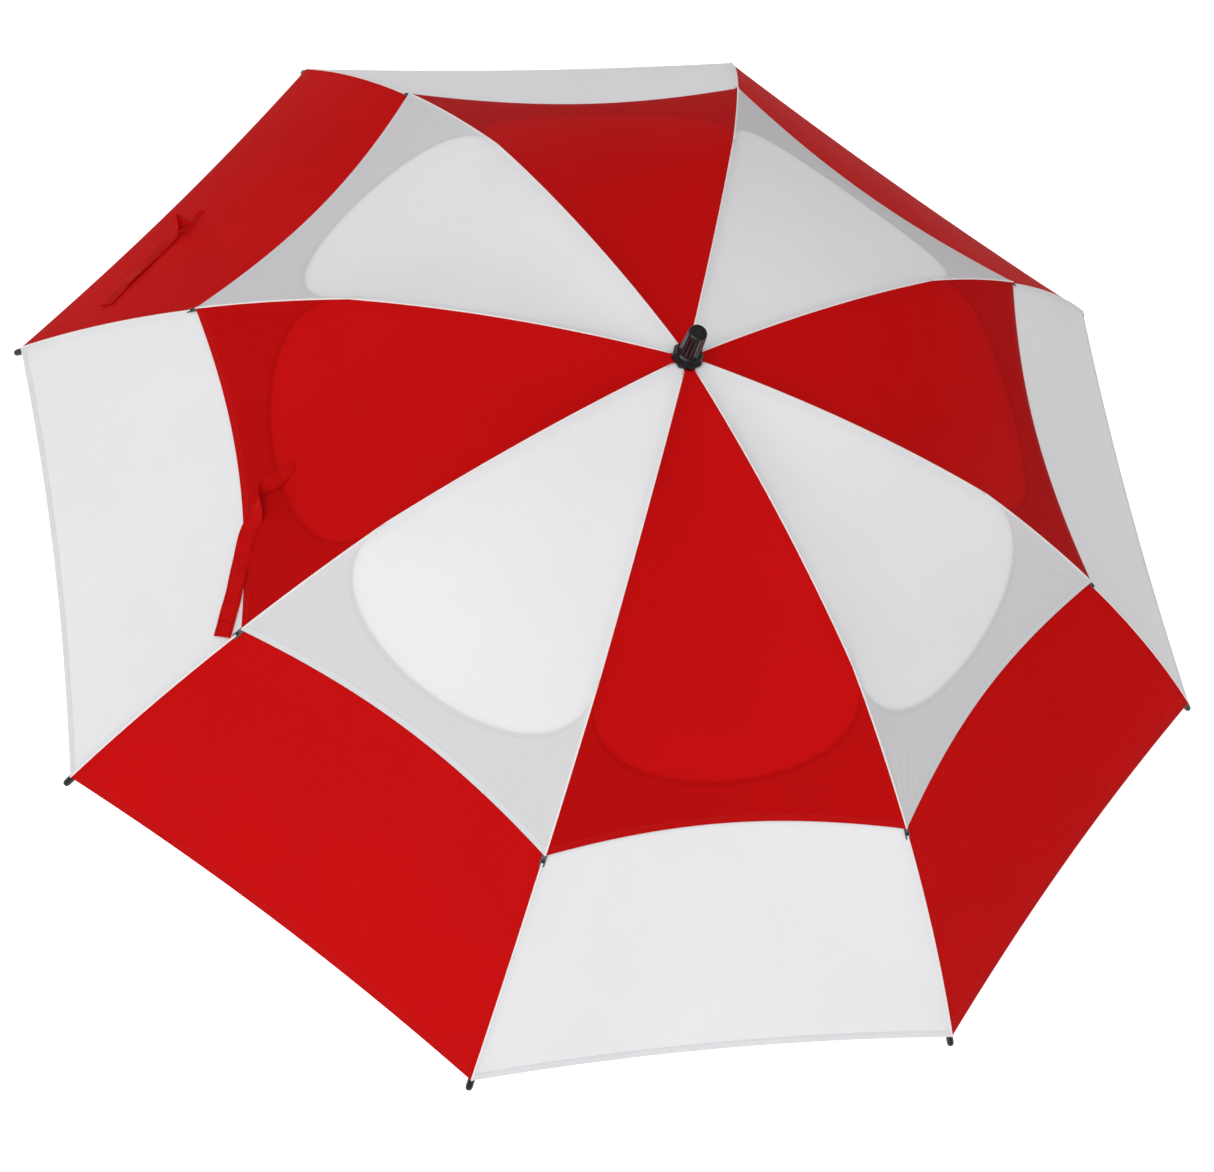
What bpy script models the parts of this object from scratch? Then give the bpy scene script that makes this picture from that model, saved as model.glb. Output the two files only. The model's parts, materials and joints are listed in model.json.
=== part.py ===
"""Golf umbrella with a vented double canopy, open.

Metres, +Z up the shaft, origin at the handle's flat end. Rib 1 lies along +X.
Panel 1 is between ribs 1 and 2.
"""

import math

import bmesh
import bpy
from mathutils import Vector

# Driving dimensions
RIB_COUNT = 8
NOTCH_Z = 0.950  # height of the rib hinges above the handle's end
HUB_RADIUS = 0.0125  # rib hinges and runner pivots lie on this radius
SEAM_RADIUS = 1.157  # curvature of every rib, seen from the side
INNER_SLOPE = math.radians(4.7)  # slope of a rib where it leaves the notch
OUTER_SLOPE = math.radians(29.3)  # slope of the outer rib where it leaves the knee
INNER_LENGTH = 0.343  # rib from the notch to the knee
OUTER_LENGTH = 0.432  # rib from the knee to the canopy's corner
HEM_START = 0.181  # the upper canopy's corner, along the outer rib from the knee
GAP = 0.0003  # between pieces that touch on the real umbrella

# Shaft, hub, runner and handle
SHAFT_RADIUS = 0.007
SHAFT_WALL = 0.0008
SHAFT_BOTTOM = 0.0130
SHAFT_ABOVE_NOTCH = 0.026
HANDLE_TOP = 0.150
END_CAP_TOP = 0.0120
COLLAR_HEIGHT = 0.0075
COLLAR_ACROSS_FLATS = 0.0316
FERRULE_HEIGHT = 0.0408
FERRULE_BORE_TOP = 0.0200
HINGE_WIRE_RADIUS = 0.0005
ROUND_SIDES = 24
RUNNER_TOP = 0.006  # above the pivots
RUNNER_BOTTOM = -0.072
RUNNER_CLEARANCE = 0.0004
CATCH_WIDTH = 0.0020
CATCH_LOW = -0.048  # below the pivots of the closed runner
CATCH_HIGH = -0.020
BUTTON_LOW = -0.052  # below the runner's pivots
BUTTON_HIGH = -0.024
BUTTON_WIDTH = 0.0046
BUTTON_REACH = 0.0092  # from the shaft's axis to the button's inner face
BUTTON_THICKNESS = 0.0022

# Canopy
PANEL_ANGLE = 2 * math.pi / RIB_COUNT
BUTTON_ANGLE = PANEL_ANGLE / 2
CATCH_ANGLE = PANEL_ANGLE / 2 + math.pi  # the bottom catch is opposite the button
PANEL_THICKNESS = 0.0008
LOWER_RISE = 0.0045  # fabric above the rib's middle line
UPPER_RISE = 0.0075
HOLE_START = 0.004  # the vent hole's ends, along the outer rib from the knee
HOLE_BULGE = 0.112  # how far the vent hole reaches out between two ribs
UPPER_SCALLOP = 0.019
LOWER_SCALLOP = 0.009
SEAM_SHARE = 0.0012  # share of a panel's width left free at each seam

# Ribs and stretchers
BAR_WIDTH = 0.0040
BAR_HEIGHT = 0.0036
BLADE_WIDTH = 0.0020
EYE_RADIUS = 0.0024
EYE_HOLE = 0.0013
PIN_RADIUS = 0.0009
CHEEK_INNER = 0.0013
CHEEK_OUTER = 0.0023
ROD_RADIUS = 0.0018
STRETCHER_BACK = 0.012  # the stretcher's pivot, back from the knee along the rib
STRETCHER_DROP = 0.0065  # and below the rib's middle line
STRETCHER_WIDTH = 0.0030
STRETCHER_HEIGHT = 0.0036

# Folding
FOLD_DEG = 74.0
KNEE_DEG = 25.0

# Straps, along the rib and as a share of the panel's width
LOWER_STRAP_ROUTE = ((0.352, 0.51), (0.354, 0.64), (0.352, 0.77), (0.343, 0.90))
LOWER_STRAP_WIDTH = 0.018
UPPER_STRAP_ROUTE = ((0.095, 0.60), (0.126, 0.63), (0.160, 0.74), (0.180, 0.86), (0.205, 0.98))
UPPER_STRAP_WIDTH = 0.019
STRAP_THICKNESS = 0.0012
STRAP_LIFT = 0.0020  # clear of the fabric's facets


def arc_point(slope, length):
    """(r, z) after length along a rib's arc that starts level with slope; z falls."""
    end = slope + length / SEAM_RADIUS
    return SEAM_RADIUS * (math.sin(end) - math.sin(slope)), -SEAM_RADIUS * (math.cos(slope) - math.cos(end))


def inner_point(length, rise=0.0):
    """A point of the inner rib in its radial plane, from the hinge, rise above its middle line."""
    r, z = arc_point(INNER_SLOPE, length)
    slope = INNER_SLOPE + length / SEAM_RADIUS
    return r + rise * math.sin(slope), z + rise * math.cos(slope)


def outer_point(length, rise=0.0):
    """A point of the outer rib in its radial plane, from the knee."""
    r, z = arc_point(OUTER_SLOPE, length)
    slope = OUTER_SLOPE + length / SEAM_RADIUS
    return r + rise * math.sin(slope), z + rise * math.cos(slope)


KNEE = inner_point(INNER_LENGTH)
STRETCHER_PIVOT = inner_point(INNER_LENGTH - STRETCHER_BACK, -STRETCHER_DROP)
STRETCHER_LENGTH = math.hypot(*STRETCHER_PIVOT)
STRETCHER_ANGLE = math.atan2(-STRETCHER_PIVOT[1], STRETCHER_PIVOT[0])
RUNNER_Z = NOTCH_Z - 2 * STRETCHER_LENGTH * math.sin(STRETCHER_ANGLE)
CLOSED_ANGLE = STRETCHER_ANGLE + math.radians(FOLD_DEG)
RUNNER_TRAVEL = 2 * STRETCHER_LENGTH * (math.sin(CLOSED_ANGLE) - math.sin(STRETCHER_ANGLE))


# Materials


def material(name, color, roughness, metallic=0.0):
    made = bpy.data.materials.new(name)
    made.use_nodes = True
    shader = made.node_tree.nodes["Principled BSDF"]
    shader.inputs["Base Color"].default_value = (*color, 1.0)
    shader.inputs["Roughness"].default_value = roughness
    shader.inputs["Metallic"].default_value = metallic
    return made


def make_materials():
    return {
        "red_fabric": material("red_fabric", (0.62, 0.015, 0.015), 0.7),
        "white_fabric": material("white_fabric", (0.78, 0.79, 0.80), 0.7),
        "strap": material("strap", (0.60, 0.015, 0.015), 0.8),
        "black_plastic": material("black_plastic", (0.02, 0.02, 0.022), 0.3),
        "handle": material("handle", (0.03, 0.03, 0.032), 0.6),
        "rib_steel": material("rib_steel", (0.10, 0.10, 0.11), 0.4, 0.8),
        "fibreglass": material("fibreglass", (0.04, 0.04, 0.045), 0.45),
        "shaft": material("shaft", (0.55, 0.56, 0.58), 0.3, 1.0),
    }


# Building blocks


def new_object(name, mesh, look):
    made = bpy.data.objects.new(name, mesh)
    bpy.context.scene.collection.objects.link(made)
    if not mesh.materials:
        mesh.materials.append(look)
    return made


def closed_mesh(name, points, faces):
    """A mesh whose faces are turned outwards."""
    mesh = bpy.data.meshes.new(name)
    mesh.from_pydata(points, [], faces)
    shape = bmesh.new()
    shape.from_mesh(mesh)
    bmesh.ops.remove_doubles(shape, verts=shape.verts, dist=1e-6)
    bmesh.ops.recalc_face_normals(shape, faces=shape.faces)
    shape.to_mesh(mesh)
    shape.free()
    return mesh


def prism_mesh(name, outline, low_y, high_y):
    """An outline of (x, z) points, extruded from low_y to high_y."""
    count = len(outline)
    points = [(x, low_y, z) for x, z in outline] + [(x, high_y, z) for x, z in outline]
    faces = [list(range(count)), list(range(2 * count - 1, count - 1, -1))]
    for i in range(count):
        j = (i + 1) % count
        faces.append((i, j, count + j, count + i))
    return closed_mesh(name, points, faces)


def circle(radius, sides, centre=(0.0, 0.0)):
    step = 2 * math.pi / sides
    return [
        (centre[0] + radius * math.cos(i * step), centre[1] + radius * math.sin(i * step))
        for i in range(sides)
    ]


def turned_mesh(name, profile, sides, turn=0.0):
    """A closed ring profile of (r, z) points turned about Z. A point on the axis has r = 0."""
    points = []
    rows = []
    for r, z in profile:
        if r == 0.0:
            rows.append([len(points)] * sides)
            points.append((0.0, 0.0, z))
            continue
        rows.append(list(range(len(points), len(points) + sides)))
        for i in range(sides):
            angle = turn + 2 * math.pi * i / sides
            points.append((r * math.cos(angle), r * math.sin(angle), z))
    faces = []
    for j, row in enumerate(rows):
        after = rows[(j + 1) % len(rows)]
        if row[0] == row[1] and after[0] == after[1]:
            continue
        for i in range(sides):
            k = (i + 1) % sides
            corners = [row[i], row[k], after[k], after[i]]
            faces.append(tuple(dict.fromkeys(corners)))
    return closed_mesh(name, points, faces)


def round_mesh(name, profile):
    """A turned mesh whose flats face the ribs."""
    return turned_mesh(name, profile, ROUND_SIDES, math.pi / ROUND_SIDES)


def box_mesh(name, low, high):
    outline = [(low[0], low[2]), (high[0], low[2]), (high[0], high[2]), (low[0], high[2])]
    return prism_mesh(name, outline, low[1], high[1])


def swept_bar_mesh(name, path, sections):
    """A bar along a path of (x, z) points. sections holds (y, rise) corners of its cross-section."""
    count = len(sections)
    points = []
    for i, (x, z) in enumerate(path):
        before = path[max(i - 1, 0)]
        after = path[min(i + 1, len(path) - 1)]
        run = math.hypot(after[0] - before[0], after[1] - before[1])
        normal = (-(after[1] - before[1]) / run, (after[0] - before[0]) / run)
        points += [(x + rise * normal[0], y, z + rise * normal[1]) for y, rise in sections]
    faces = [list(range(count)), list(range(len(points) - 1, len(points) - count - 1, -1))]
    for i in range(len(path) - 1):
        for j in range(count):
            k = (j + 1) % count
            faces.append((i * count + j, i * count + k, (i + 1) * count + k, (i + 1) * count + j))
    return closed_mesh(name, points, faces)


def rectangle(width, height):
    x, y = width / 2, height / 2
    return [(-x, -y), (x, -y), (x, y), (-x, y)]


def combined(name, base, joined=(), cut=()):
    """A new mesh: base with the joined meshes added and the cut meshes taken away."""
    body = bpy.data.objects.new(name, base)
    bpy.context.scene.collection.objects.link(body)
    helpers = []
    for operation, meshes in (("UNION", joined), ("DIFFERENCE", cut)):
        for mesh in meshes:
            helper = bpy.data.objects.new("helper", mesh)
            bpy.context.scene.collection.objects.link(helper)
            helpers.append(helper)
            modifier = body.modifiers.new(operation.lower(), "BOOLEAN")
            modifier.operation = operation
            modifier.object = helper
    bpy.context.view_layer.update()
    graph = bpy.context.evaluated_depsgraph_get()
    made = bpy.data.meshes.new_from_object(body.evaluated_get(graph))
    made.name = name
    made.materials.clear()
    for spare in (body, *helpers):
        bpy.data.objects.remove(spare)
    return made


def smooth(mesh, angle=math.radians(35)):
    mesh.shade_smooth()
    mesh.set_sharp_from_angle(angle=angle)
    return mesh


def eye_meshes(radius, hole, width, centre=(0.0, 0.0), sides=10):
    """The disc round a pivot, and the hole through it."""
    disc = prism_mesh("disc", circle(radius, sides, centre), -width / 2, width / 2)
    cutter = prism_mesh("hole", circle(hole, 8, centre), -0.01, 0.01)
    return disc, cutter


def pivot_pin_mesh(centre):
    return prism_mesh("pin", circle(PIN_RADIUS, 8, centre), -CHEEK_OUTER + 0.0002, CHEEK_OUTER - 0.0002)


def cheek_meshes(outline):
    """Two equal plates, one on each side of a blade."""
    left = prism_mesh("cheek", outline, CHEEK_INNER, CHEEK_OUTER)
    right = prism_mesh("cheek", outline, -CHEEK_OUTER, -CHEEK_INNER)
    return left, right


# Ribs


def inner_rib_mesh():
    """From the notch hinge at the mesh's origin to the fork at the knee, with the stretcher's bracket."""
    bar_start = 0.0012
    bar_end = INNER_LENGTH - 0.0048
    steps = 7
    path = [inner_point(bar_start + (bar_end - bar_start) * i / steps) for i in range(steps + 1)]
    bar = swept_bar_mesh("bar", path, rectangle(BAR_WIDTH, BAR_HEIGHT))
    disc, hole = eye_meshes(0.0022, 0.0010, 0.0030)
    slope = INNER_SLOPE + INNER_LENGTH / SEAM_RADIUS
    along = (math.cos(slope), -math.sin(slope))
    up = (math.sin(slope), math.cos(slope))

    def near_knee(back, rise):
        return (KNEE[0] - back * along[0] + rise * up[0], KNEE[1] - back * along[1] + rise * up[1])

    fork = [near_knee(0.013, -0.0012), near_knee(0.0, -0.0023), near_knee(-0.0022, -0.0012)]
    fork += [near_knee(-0.0022, 0.0012), near_knee(0.0, 0.0022), near_knee(0.013, 0.0014)]
    back = STRETCHER_BACK
    drop = STRETCHER_DROP
    bracket = [near_knee(back + 0.0042, -0.0010), near_knee(back + 0.0022, -drop - 0.0018)]
    bracket += [near_knee(back - 0.0022, -drop - 0.0018), near_knee(back - 0.0042, -0.0010)]
    joined = [disc, *cheek_meshes(fork), *cheek_meshes(bracket)]
    joined += [pivot_pin_mesh(KNEE), pivot_pin_mesh(STRETCHER_PIVOT)]
    return combined("rib_inner", bar, joined, [hole])


def outer_rib_mesh():
    """From the knee at the mesh's origin to the canopy's corner: a hinge blade and a round rod."""
    steps = 9
    start = 0.006
    end = OUTER_LENGTH + 0.002
    path = [outer_point(start + (end - start) * i / steps) for i in range(steps + 1)]
    rod = swept_bar_mesh("rod", path, circle(ROD_RADIUS, 6))
    disc, hole = eye_meshes(EYE_RADIUS - 0.0002, EYE_HOLE, BLADE_WIDTH)
    blade_path = [outer_point(length) for length in (0.0, 0.010)]
    blade = swept_bar_mesh("blade", blade_path, rectangle(BLADE_WIDTH, 0.0030))
    socket_path = [outer_point(length) for length in (0.0045, 0.012, 0.020)]
    socket = swept_bar_mesh("socket", socket_path, rectangle(0.0044, 0.0044))
    return combined("rib_outer", rod, [blade, disc, socket], [hole])


def stretcher_mesh():
    """From its rib pivot at the mesh's origin inwards to its runner end."""
    inward = (-math.cos(STRETCHER_ANGLE), -math.sin(STRETCHER_ANGLE))
    end = (inward[0] * STRETCHER_LENGTH, inward[1] * STRETCHER_LENGTH)

    def along(distance):
        return (inward[0] * distance, inward[1] * distance)

    neck = swept_bar_mesh("neck", [along(0.0), along(0.010)], rectangle(BLADE_WIDTH, 0.0030))
    arm = swept_bar_mesh(
        "arm", [along(0.007), along(STRETCHER_LENGTH)], rectangle(STRETCHER_WIDTH, STRETCHER_HEIGHT)
    )
    disc, hole = eye_meshes(EYE_RADIUS - 0.0002, EYE_HOLE, BLADE_WIDTH)
    foot = prism_mesh("foot", circle(0.0021, 10, end), -STRETCHER_WIDTH / 2, STRETCHER_WIDTH / 2)
    return combined("stretcher", arm, [neck, disc, foot], [hole])


def tip_cap_mesh():
    """A blind cap over the rod's end, turned about the mesh's Z, which points outwards along the rib."""
    bore = ROD_RADIUS + GAP
    profile = [(bore, -0.010), (0.0036, -0.010), (0.0040, -0.008), (0.0039, 0.010), (0.0032, 0.0128)]
    profile += [(0.0, 0.0140), (0.0, 0.0045), (bore, 0.0045)]
    return smooth(turned_mesh("tip_cap", profile, 10))


# Canopy


def seam_point(length, rise):
    """(r, z) of the fabric's seam above a rib, in world height; length counts from the notch."""
    if length <= INNER_LENGTH:
        r, z = inner_point(length, rise)
        return HUB_RADIUS + r, NOTCH_Z + z
    r, z = outer_point(length - INNER_LENGTH, rise)
    return HUB_RADIUS + KNEE[0] + r, NOTCH_Z + KNEE[1] + z


def fabric_point(length, share, rise):
    """A point between two ribs, on the straight line between their seams."""
    r, z = seam_point(length, rise)
    x = r * ((1 - share) + share * math.cos(PANEL_ANGLE))
    y = r * share * math.sin(PANEL_ANGLE)
    return Vector((x, y, z))


def panel_mesh(name, lengths_at, shares, rise, pivot):
    """A closed sheet between rib 1 and rib 2. lengths_at(share) gives its lengths along the rib."""
    columns = [lengths_at(share) for share in shares]
    rows = len(columns[0])
    points = []
    for level in (rise, rise + PANEL_THICKNESS):
        for share, lengths in zip(shares, columns):
            points += [fabric_point(length, share, level) - pivot for length in lengths]
    side = len(shares) * rows

    def index(level, column, row):
        return level * side + column * rows + row

    def wall(near, far):
        """The face across the sheet's thickness between two (column, row) places."""
        return index(0, *near), index(1, *near), index(1, *far), index(0, *far)

    faces = []
    for column in range(len(shares) - 1):
        for row in range(rows - 1):
            corners = ((column, row), (column, row + 1), (column + 1, row + 1), (column + 1, row))
            for level in (0, 1):
                faces.append(tuple(index(level, *corner) for corner in corners))
        for row in (0, rows - 1):
            faces.append(wall((column, row), (column + 1, row)))
    for row in range(rows - 1):
        for column in (0, len(shares) - 1):
            faces.append(wall((column, row), (column, row + 1)))
    return smooth(closed_mesh(name, points, faces))


def spread(start, end, count):
    return [start + (end - start) * i / count for i in range(count + 1)]


def rounded_shares(count):
    """Shares of a panel's width, closer together near the seams."""
    usable = 1 - 2 * SEAM_SHARE
    return [SEAM_SHARE + usable * (1 - math.cos(math.pi * i / count)) / 2 for i in range(count + 1)]


def lower_lengths(share):
    """From the vent hole's edge, an ellipse between two ribs, to the scalloped hem."""
    off_middle = (2 * share - 1) ** 2
    hole = INNER_LENGTH + HOLE_START + HOLE_BULGE * math.sqrt(1 - off_middle)
    hem = INNER_LENGTH + OUTER_LENGTH - LOWER_SCALLOP * (1 - off_middle)
    return spread(hole, hem, 4)


def upper_lengths(share):
    """From the notch over the knee to the scalloped hem."""
    off_middle = (2 * share - 1) ** 2
    hem = INNER_LENGTH + HEM_START - UPPER_SCALLOP * (1 - off_middle)
    return spread(0.0, INNER_LENGTH, 4) + spread(INNER_LENGTH, hem, 2)[1:]


def strap_mesh(name, route, width, rise, pivot):
    """A flat ribbon over the fabric. route holds (length from the knee, share) points of its middle."""
    middle = [fabric_point(INNER_LENGTH + length, share, rise) for length, share in route]
    points = []
    for i, centre in enumerate(middle):
        ahead = middle[min(i + 1, len(middle) - 1)] - middle[max(i - 1, 0)]
        length, share = route[i]
        lifted = fabric_point(INNER_LENGTH + length, share, rise + 0.001)
        up = (lifted - centre).normalized()
        across = ahead.cross(up).normalized() * width / 2
        thick = up * STRAP_THICKNESS
        points += [centre - across - pivot, centre + across - pivot]
        points += [centre + across + thick - pivot, centre - across + thick - pivot]
    faces = [(0, 1, 2, 3), tuple(len(points) - 4 + i for i in range(4))]
    for i in range(len(middle) - 1):
        for j in range(4):
            k = (j + 1) % 4
            faces.append((4 * i + j, 4 * i + k, 4 * i + 4 + k, 4 * i + 4 + j))
    return closed_mesh(name, points, faces)


# Shaft, hub, runner and handle


def slot_cutters(inner_radius, width, low_z, high_z):
    """One radial slot for each rib."""
    cutters = []
    for i in range(RIB_COUNT):
        mesh = box_mesh("slot", (inner_radius, -width / 2, low_z), (0.03, width / 2, high_z))
        turn_mesh(mesh, i * PANEL_ANGLE)
        cutters.append(mesh)
    return cutters


def turn_mesh(mesh, angle):
    for vertex in mesh.vertices:
        x, y, z = vertex.co
        vertex.co = (x * math.cos(angle) - y * math.sin(angle), x * math.sin(angle) + y * math.cos(angle), z)


def ring_profile(inner, outer, low, high):
    return [(inner, low), (outer, low), (outer, high), (inner, high)]


def notch_mesh():
    """A slotted crown with the hinge wire through its fins, and a neck on the shaft. Origin at the hinges."""
    bore = SHAFT_RADIUS + GAP
    profile = [(bore, -0.016), (0.0095, -0.016), (0.0098, -0.0050), (0.0160, -0.0050)]
    profile += [(0.0165, -0.0040), (0.0165, 0.0020), (0.0155, 0.0032), (bore, 0.0032)]
    crown = round_mesh("crown", profile)
    wire = round_mesh("wire", circle(HINGE_WIRE_RADIUS, 6, (HUB_RADIUS, 0.0)))
    slotted = combined("slotted", crown, [], slot_cutters(0.0099, BAR_WIDTH + 0.0007, -0.03, 0.03))
    return smooth(combined("top_notch", slotted, [wire]))


def runner_mesh():
    """A slotted crown on a sleeve. Origin on the shaft's axis at the pivots' height."""
    bore = SHAFT_RADIUS + RUNNER_CLEARANCE
    profile = [(bore, RUNNER_BOTTOM), (0.0090, RUNNER_BOTTOM), (0.0096, RUNNER_BOTTOM + 0.002)]
    profile += [(0.0096, -0.008), (0.0150, -0.007), (0.0160, -0.006)]
    profile += [(0.0160, RUNNER_TOP - 0.001), (0.0150, RUNNER_TOP), (bore, RUNNER_TOP)]
    body = round_mesh("runner_body", profile)
    half = BUTTON_WIDTH / 2 + GAP
    window = box_mesh("window", (0.0, -half, BUTTON_LOW - GAP), (0.02, half, BUTTON_HIGH + GAP))
    turn_mesh(window, BUTTON_ANGLE)
    channel = box_mesh("channel", (0.0, -0.0016, -0.1), (0.0089, 0.0016, 0.02))
    turn_mesh(channel, CATCH_ANGLE)
    cutters = slot_cutters(0.0100, 0.0038, -0.03, 0.03)
    return smooth(combined("runner", body, [], [*cutters, window, channel]))


def shaft_mesh(low, high, catch_low, catch_high):
    """A thin tube with a slot for the bottom catch. Origin at the object's origin."""
    tube = round_mesh("tube", ring_profile(SHAFT_RADIUS - SHAFT_WALL, SHAFT_RADIUS, low, high))
    half = CATCH_WIDTH / 2 + GAP
    slot = box_mesh("slot", (0.0, -half, catch_low - GAP), (0.02, half, catch_high + GAP))
    turn_mesh(slot, CATCH_ANGLE)
    return smooth(combined("shaft_tube", tube, [], [slot]))


def catch_mesh(low, high):
    """The bottom catch: a thin wedge that stands out of the shaft."""
    outline = [(0.0022, low), (0.0070, low), (0.0084, low + 0.003), (0.0072, high), (0.0022, high)]
    mesh = prism_mesh("bottom_catch", outline, -CATCH_WIDTH / 2, CATCH_WIDTH / 2)
    turn_mesh(mesh, CATCH_ANGLE)
    return mesh


def button_mesh():
    """A rocking plate in the runner's window. Origin at its pivot, in the middle of its inner face."""
    half = (BUTTON_HIGH - BUTTON_LOW) / 2
    outline = [(0.0, -half), (0.0, half), (0.0012, half), (BUTTON_THICKNESS, half - 0.004)]
    outline += [(BUTTON_THICKNESS, -half + 0.004), (0.0012, -half)]
    return prism_mesh("runner_button", outline, -BUTTON_WIDTH / 2, BUTTON_WIDTH / 2)


def collar_mesh():
    """The octagonal collar on the canopy's peak. Origin at its underside."""
    bore = (SHAFT_RADIUS + GAP) / math.cos(math.pi / 8)
    corner = COLLAR_ACROSS_FLATS / 2 / math.cos(math.pi / 8)
    profile = [(bore, 0.0), (corner, 0.0), (corner, 0.0035), (corner - 0.0035, COLLAR_HEIGHT)]
    profile += [(bore, COLLAR_HEIGHT)]
    return turned_mesh("ferrule_collar", profile, 8, math.pi / 8)


def ferrule_mesh():
    """The ferrule: a lip ring, a tapered barrel and a rounded top. Origin at its underside."""
    bore = SHAFT_RADIUS + GAP
    top = FERRULE_HEIGHT
    profile = [(bore, 0.0), (0.0121, 0.0), (0.0126, 0.0012), (0.0121, 0.0026), (0.0112, 0.0030)]
    profile += [(0.0098, top - 0.0035), (0.0090, top - 0.0012), (0.0070, top), (0.0020, top - 0.0004)]
    profile += [(0.0, top - 0.0012), (0.0, FERRULE_BORE_TOP), (bore, FERRULE_BORE_TOP)]
    return smooth(turned_mesh("ferrule", profile, 16, math.pi / 16))


def grip_mesh():
    """The straight handle, with a bore for the shaft. Origin at the object's origin."""
    bore = SHAFT_RADIUS + GAP
    bottom = END_CAP_TOP + GAP
    profile = [(bore, bottom), (0.0148, bottom), (0.0150, 0.030), (0.0142, 0.075), (0.0136, 0.120)]
    profile += [(0.0126, 0.140), (0.0108, 0.148), (0.0096, HANDLE_TOP), (bore, HANDLE_TOP)]
    return smooth(round_mesh("handle_grip", profile))


def end_cap_mesh():
    """The handle's end cap, with the flat face that stands on a surface."""
    profile = [(0.0, 0.0), (0.0135, 0.0), (0.0152, 0.0018), (0.0152, END_CAP_TOP - 0.002)]
    profile += [(0.0146, END_CAP_TOP), (0.0, END_CAP_TOP)]
    return smooth(round_mesh("handle_end_cap", profile))


# Assembly


def make_root(looks):
    closed_runner_z = RUNNER_Z - RUNNER_TRAVEL
    catch_low = closed_runner_z + CATCH_LOW
    catch_high = closed_runner_z + CATCH_HIGH
    tube_top = NOTCH_Z + SHAFT_ABOVE_NOTCH
    collar_z = NOTCH_Z + UPPER_RISE + PANEL_THICKNESS + 3 * GAP
    new_object("shaft_tube", shaft_mesh(SHAFT_BOTTOM, tube_top, catch_low, catch_high), looks["shaft"])
    new_object("bottom_catch", catch_mesh(catch_low, catch_high), looks["rib_steel"])
    notch = new_object("top_notch", notch_mesh(), looks["black_plastic"])
    notch.location.z = NOTCH_Z
    stop_mesh = smooth(round_mesh("stop_collar", ring_profile(SHAFT_RADIUS + GAP, 0.0094, 0.0, 0.005)))
    stop = new_object("stop_collar", stop_mesh, looks["rib_steel"])
    stop.location.z = RUNNER_Z + RUNNER_TOP + 0.0005
    collar = new_object("ferrule_collar", collar_mesh(), looks["black_plastic"])
    collar.location.z = collar_z
    ferrule = new_object("ferrule", ferrule_mesh(), looks["black_plastic"])
    ferrule.location.z = collar_z + COLLAR_HEIGHT + GAP
    new_object("handle_grip", grip_mesh(), looks["handle"])
    new_object("handle_end_cap", end_cap_mesh(), looks["black_plastic"])


def make_runner(looks):
    runner = new_object("runner", runner_mesh(), looks["black_plastic"])
    runner.location.z = RUNNER_Z
    button = new_object("runner_button", button_mesh(), looks["black_plastic"])
    button.parent = runner
    button.location = (
        BUTTON_REACH * math.cos(BUTTON_ANGLE),
        BUTTON_REACH * math.sin(BUTTON_ANGLE),
        (BUTTON_LOW + BUTTON_HIGH) / 2,
    )
    button.rotation_euler.z = BUTTON_ANGLE


def make_ribs(looks):
    hinge = Vector((HUB_RADIUS, 0.0, NOTCH_Z))
    knee = hinge + Vector((KNEE[0], 0.0, KNEE[1]))
    pivot = hinge + Vector((STRETCHER_PIVOT[0], 0.0, STRETCHER_PIVOT[1]))
    tip = outer_point(OUTER_LENGTH)
    tip_slope = OUTER_SLOPE + OUTER_LENGTH / SEAM_RADIUS
    inner = inner_rib_mesh()
    outer = outer_rib_mesh()
    stretcher = stretcher_mesh()
    cap = tip_cap_mesh()
    lower = panel_mesh("lower_panel", lower_lengths, rounded_shares(8), LOWER_RISE, knee)
    upper = panel_mesh("upper_panel", upper_lengths, rounded_shares(4), UPPER_RISE, hinge)
    panel_looks = (looks["red_fabric"], looks["white_fabric"])
    for number in range(1, RIB_COUNT + 1):
        frame = bpy.data.objects.new(f"rib_frame_{number}", None)
        bpy.context.scene.collection.objects.link(frame)
        frame.rotation_euler.z = (number - 1) * PANEL_ANGLE
        odd = number % 2
        pieces = (
            (f"rib_inner_{number}", inner, hinge, looks["rib_steel"]),
            (f"rib_outer_{number}", outer, knee, looks["fibreglass"]),
            (f"stretcher_{number}", stretcher, pivot, looks["rib_steel"]),
            (f"lower_panel_{number}", lower.copy(), knee, panel_looks[odd]),
            (f"upper_panel_{number}", upper.copy(), hinge, panel_looks[1 - odd]),
        )
        for name, mesh, place, look in pieces:
            piece = new_object(name, mesh, look)
            piece.parent = frame
            piece.location = place
        end = new_object(f"tip_cap_{number}", cap, looks["black_plastic"])
        end.parent = frame
        end.location = knee + Vector((tip[0], 0.0, tip[1]))
        end.rotation_euler.y = math.pi / 2 + tip_slope


def make_straps(looks):
    """Each closing strap lies on a panel. Its origin is on the knee of the rib that carries it."""
    knee = Vector((HUB_RADIUS + KNEE[0], 0.0, NOTCH_Z + KNEE[1]))
    straps = (
        ("lower_strap", 4, LOWER_STRAP_ROUTE, LOWER_STRAP_WIDTH, LOWER_RISE + PANEL_THICKNESS + STRAP_LIFT),
        ("upper_strap", 5, UPPER_STRAP_ROUTE, UPPER_STRAP_WIDTH, UPPER_RISE + PANEL_THICKNESS + STRAP_LIFT),
    )
    for name, panel, route, width, rise in straps:
        carrier_knee = knee.copy()
        carrier_knee.x = knee.x * math.cos(PANEL_ANGLE)
        carrier_knee.y = knee.x * math.sin(PANEL_ANGLE)
        frame = bpy.data.objects.new(f"{name}_frame", None)
        bpy.context.scene.collection.objects.link(frame)
        frame.rotation_euler.z = (panel - 1) * PANEL_ANGLE
        strap = new_object(name, strap_mesh(name, route, width, rise, carrier_knee), looks["strap"])
        strap.parent = frame
        strap.location = carrier_knee


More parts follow.
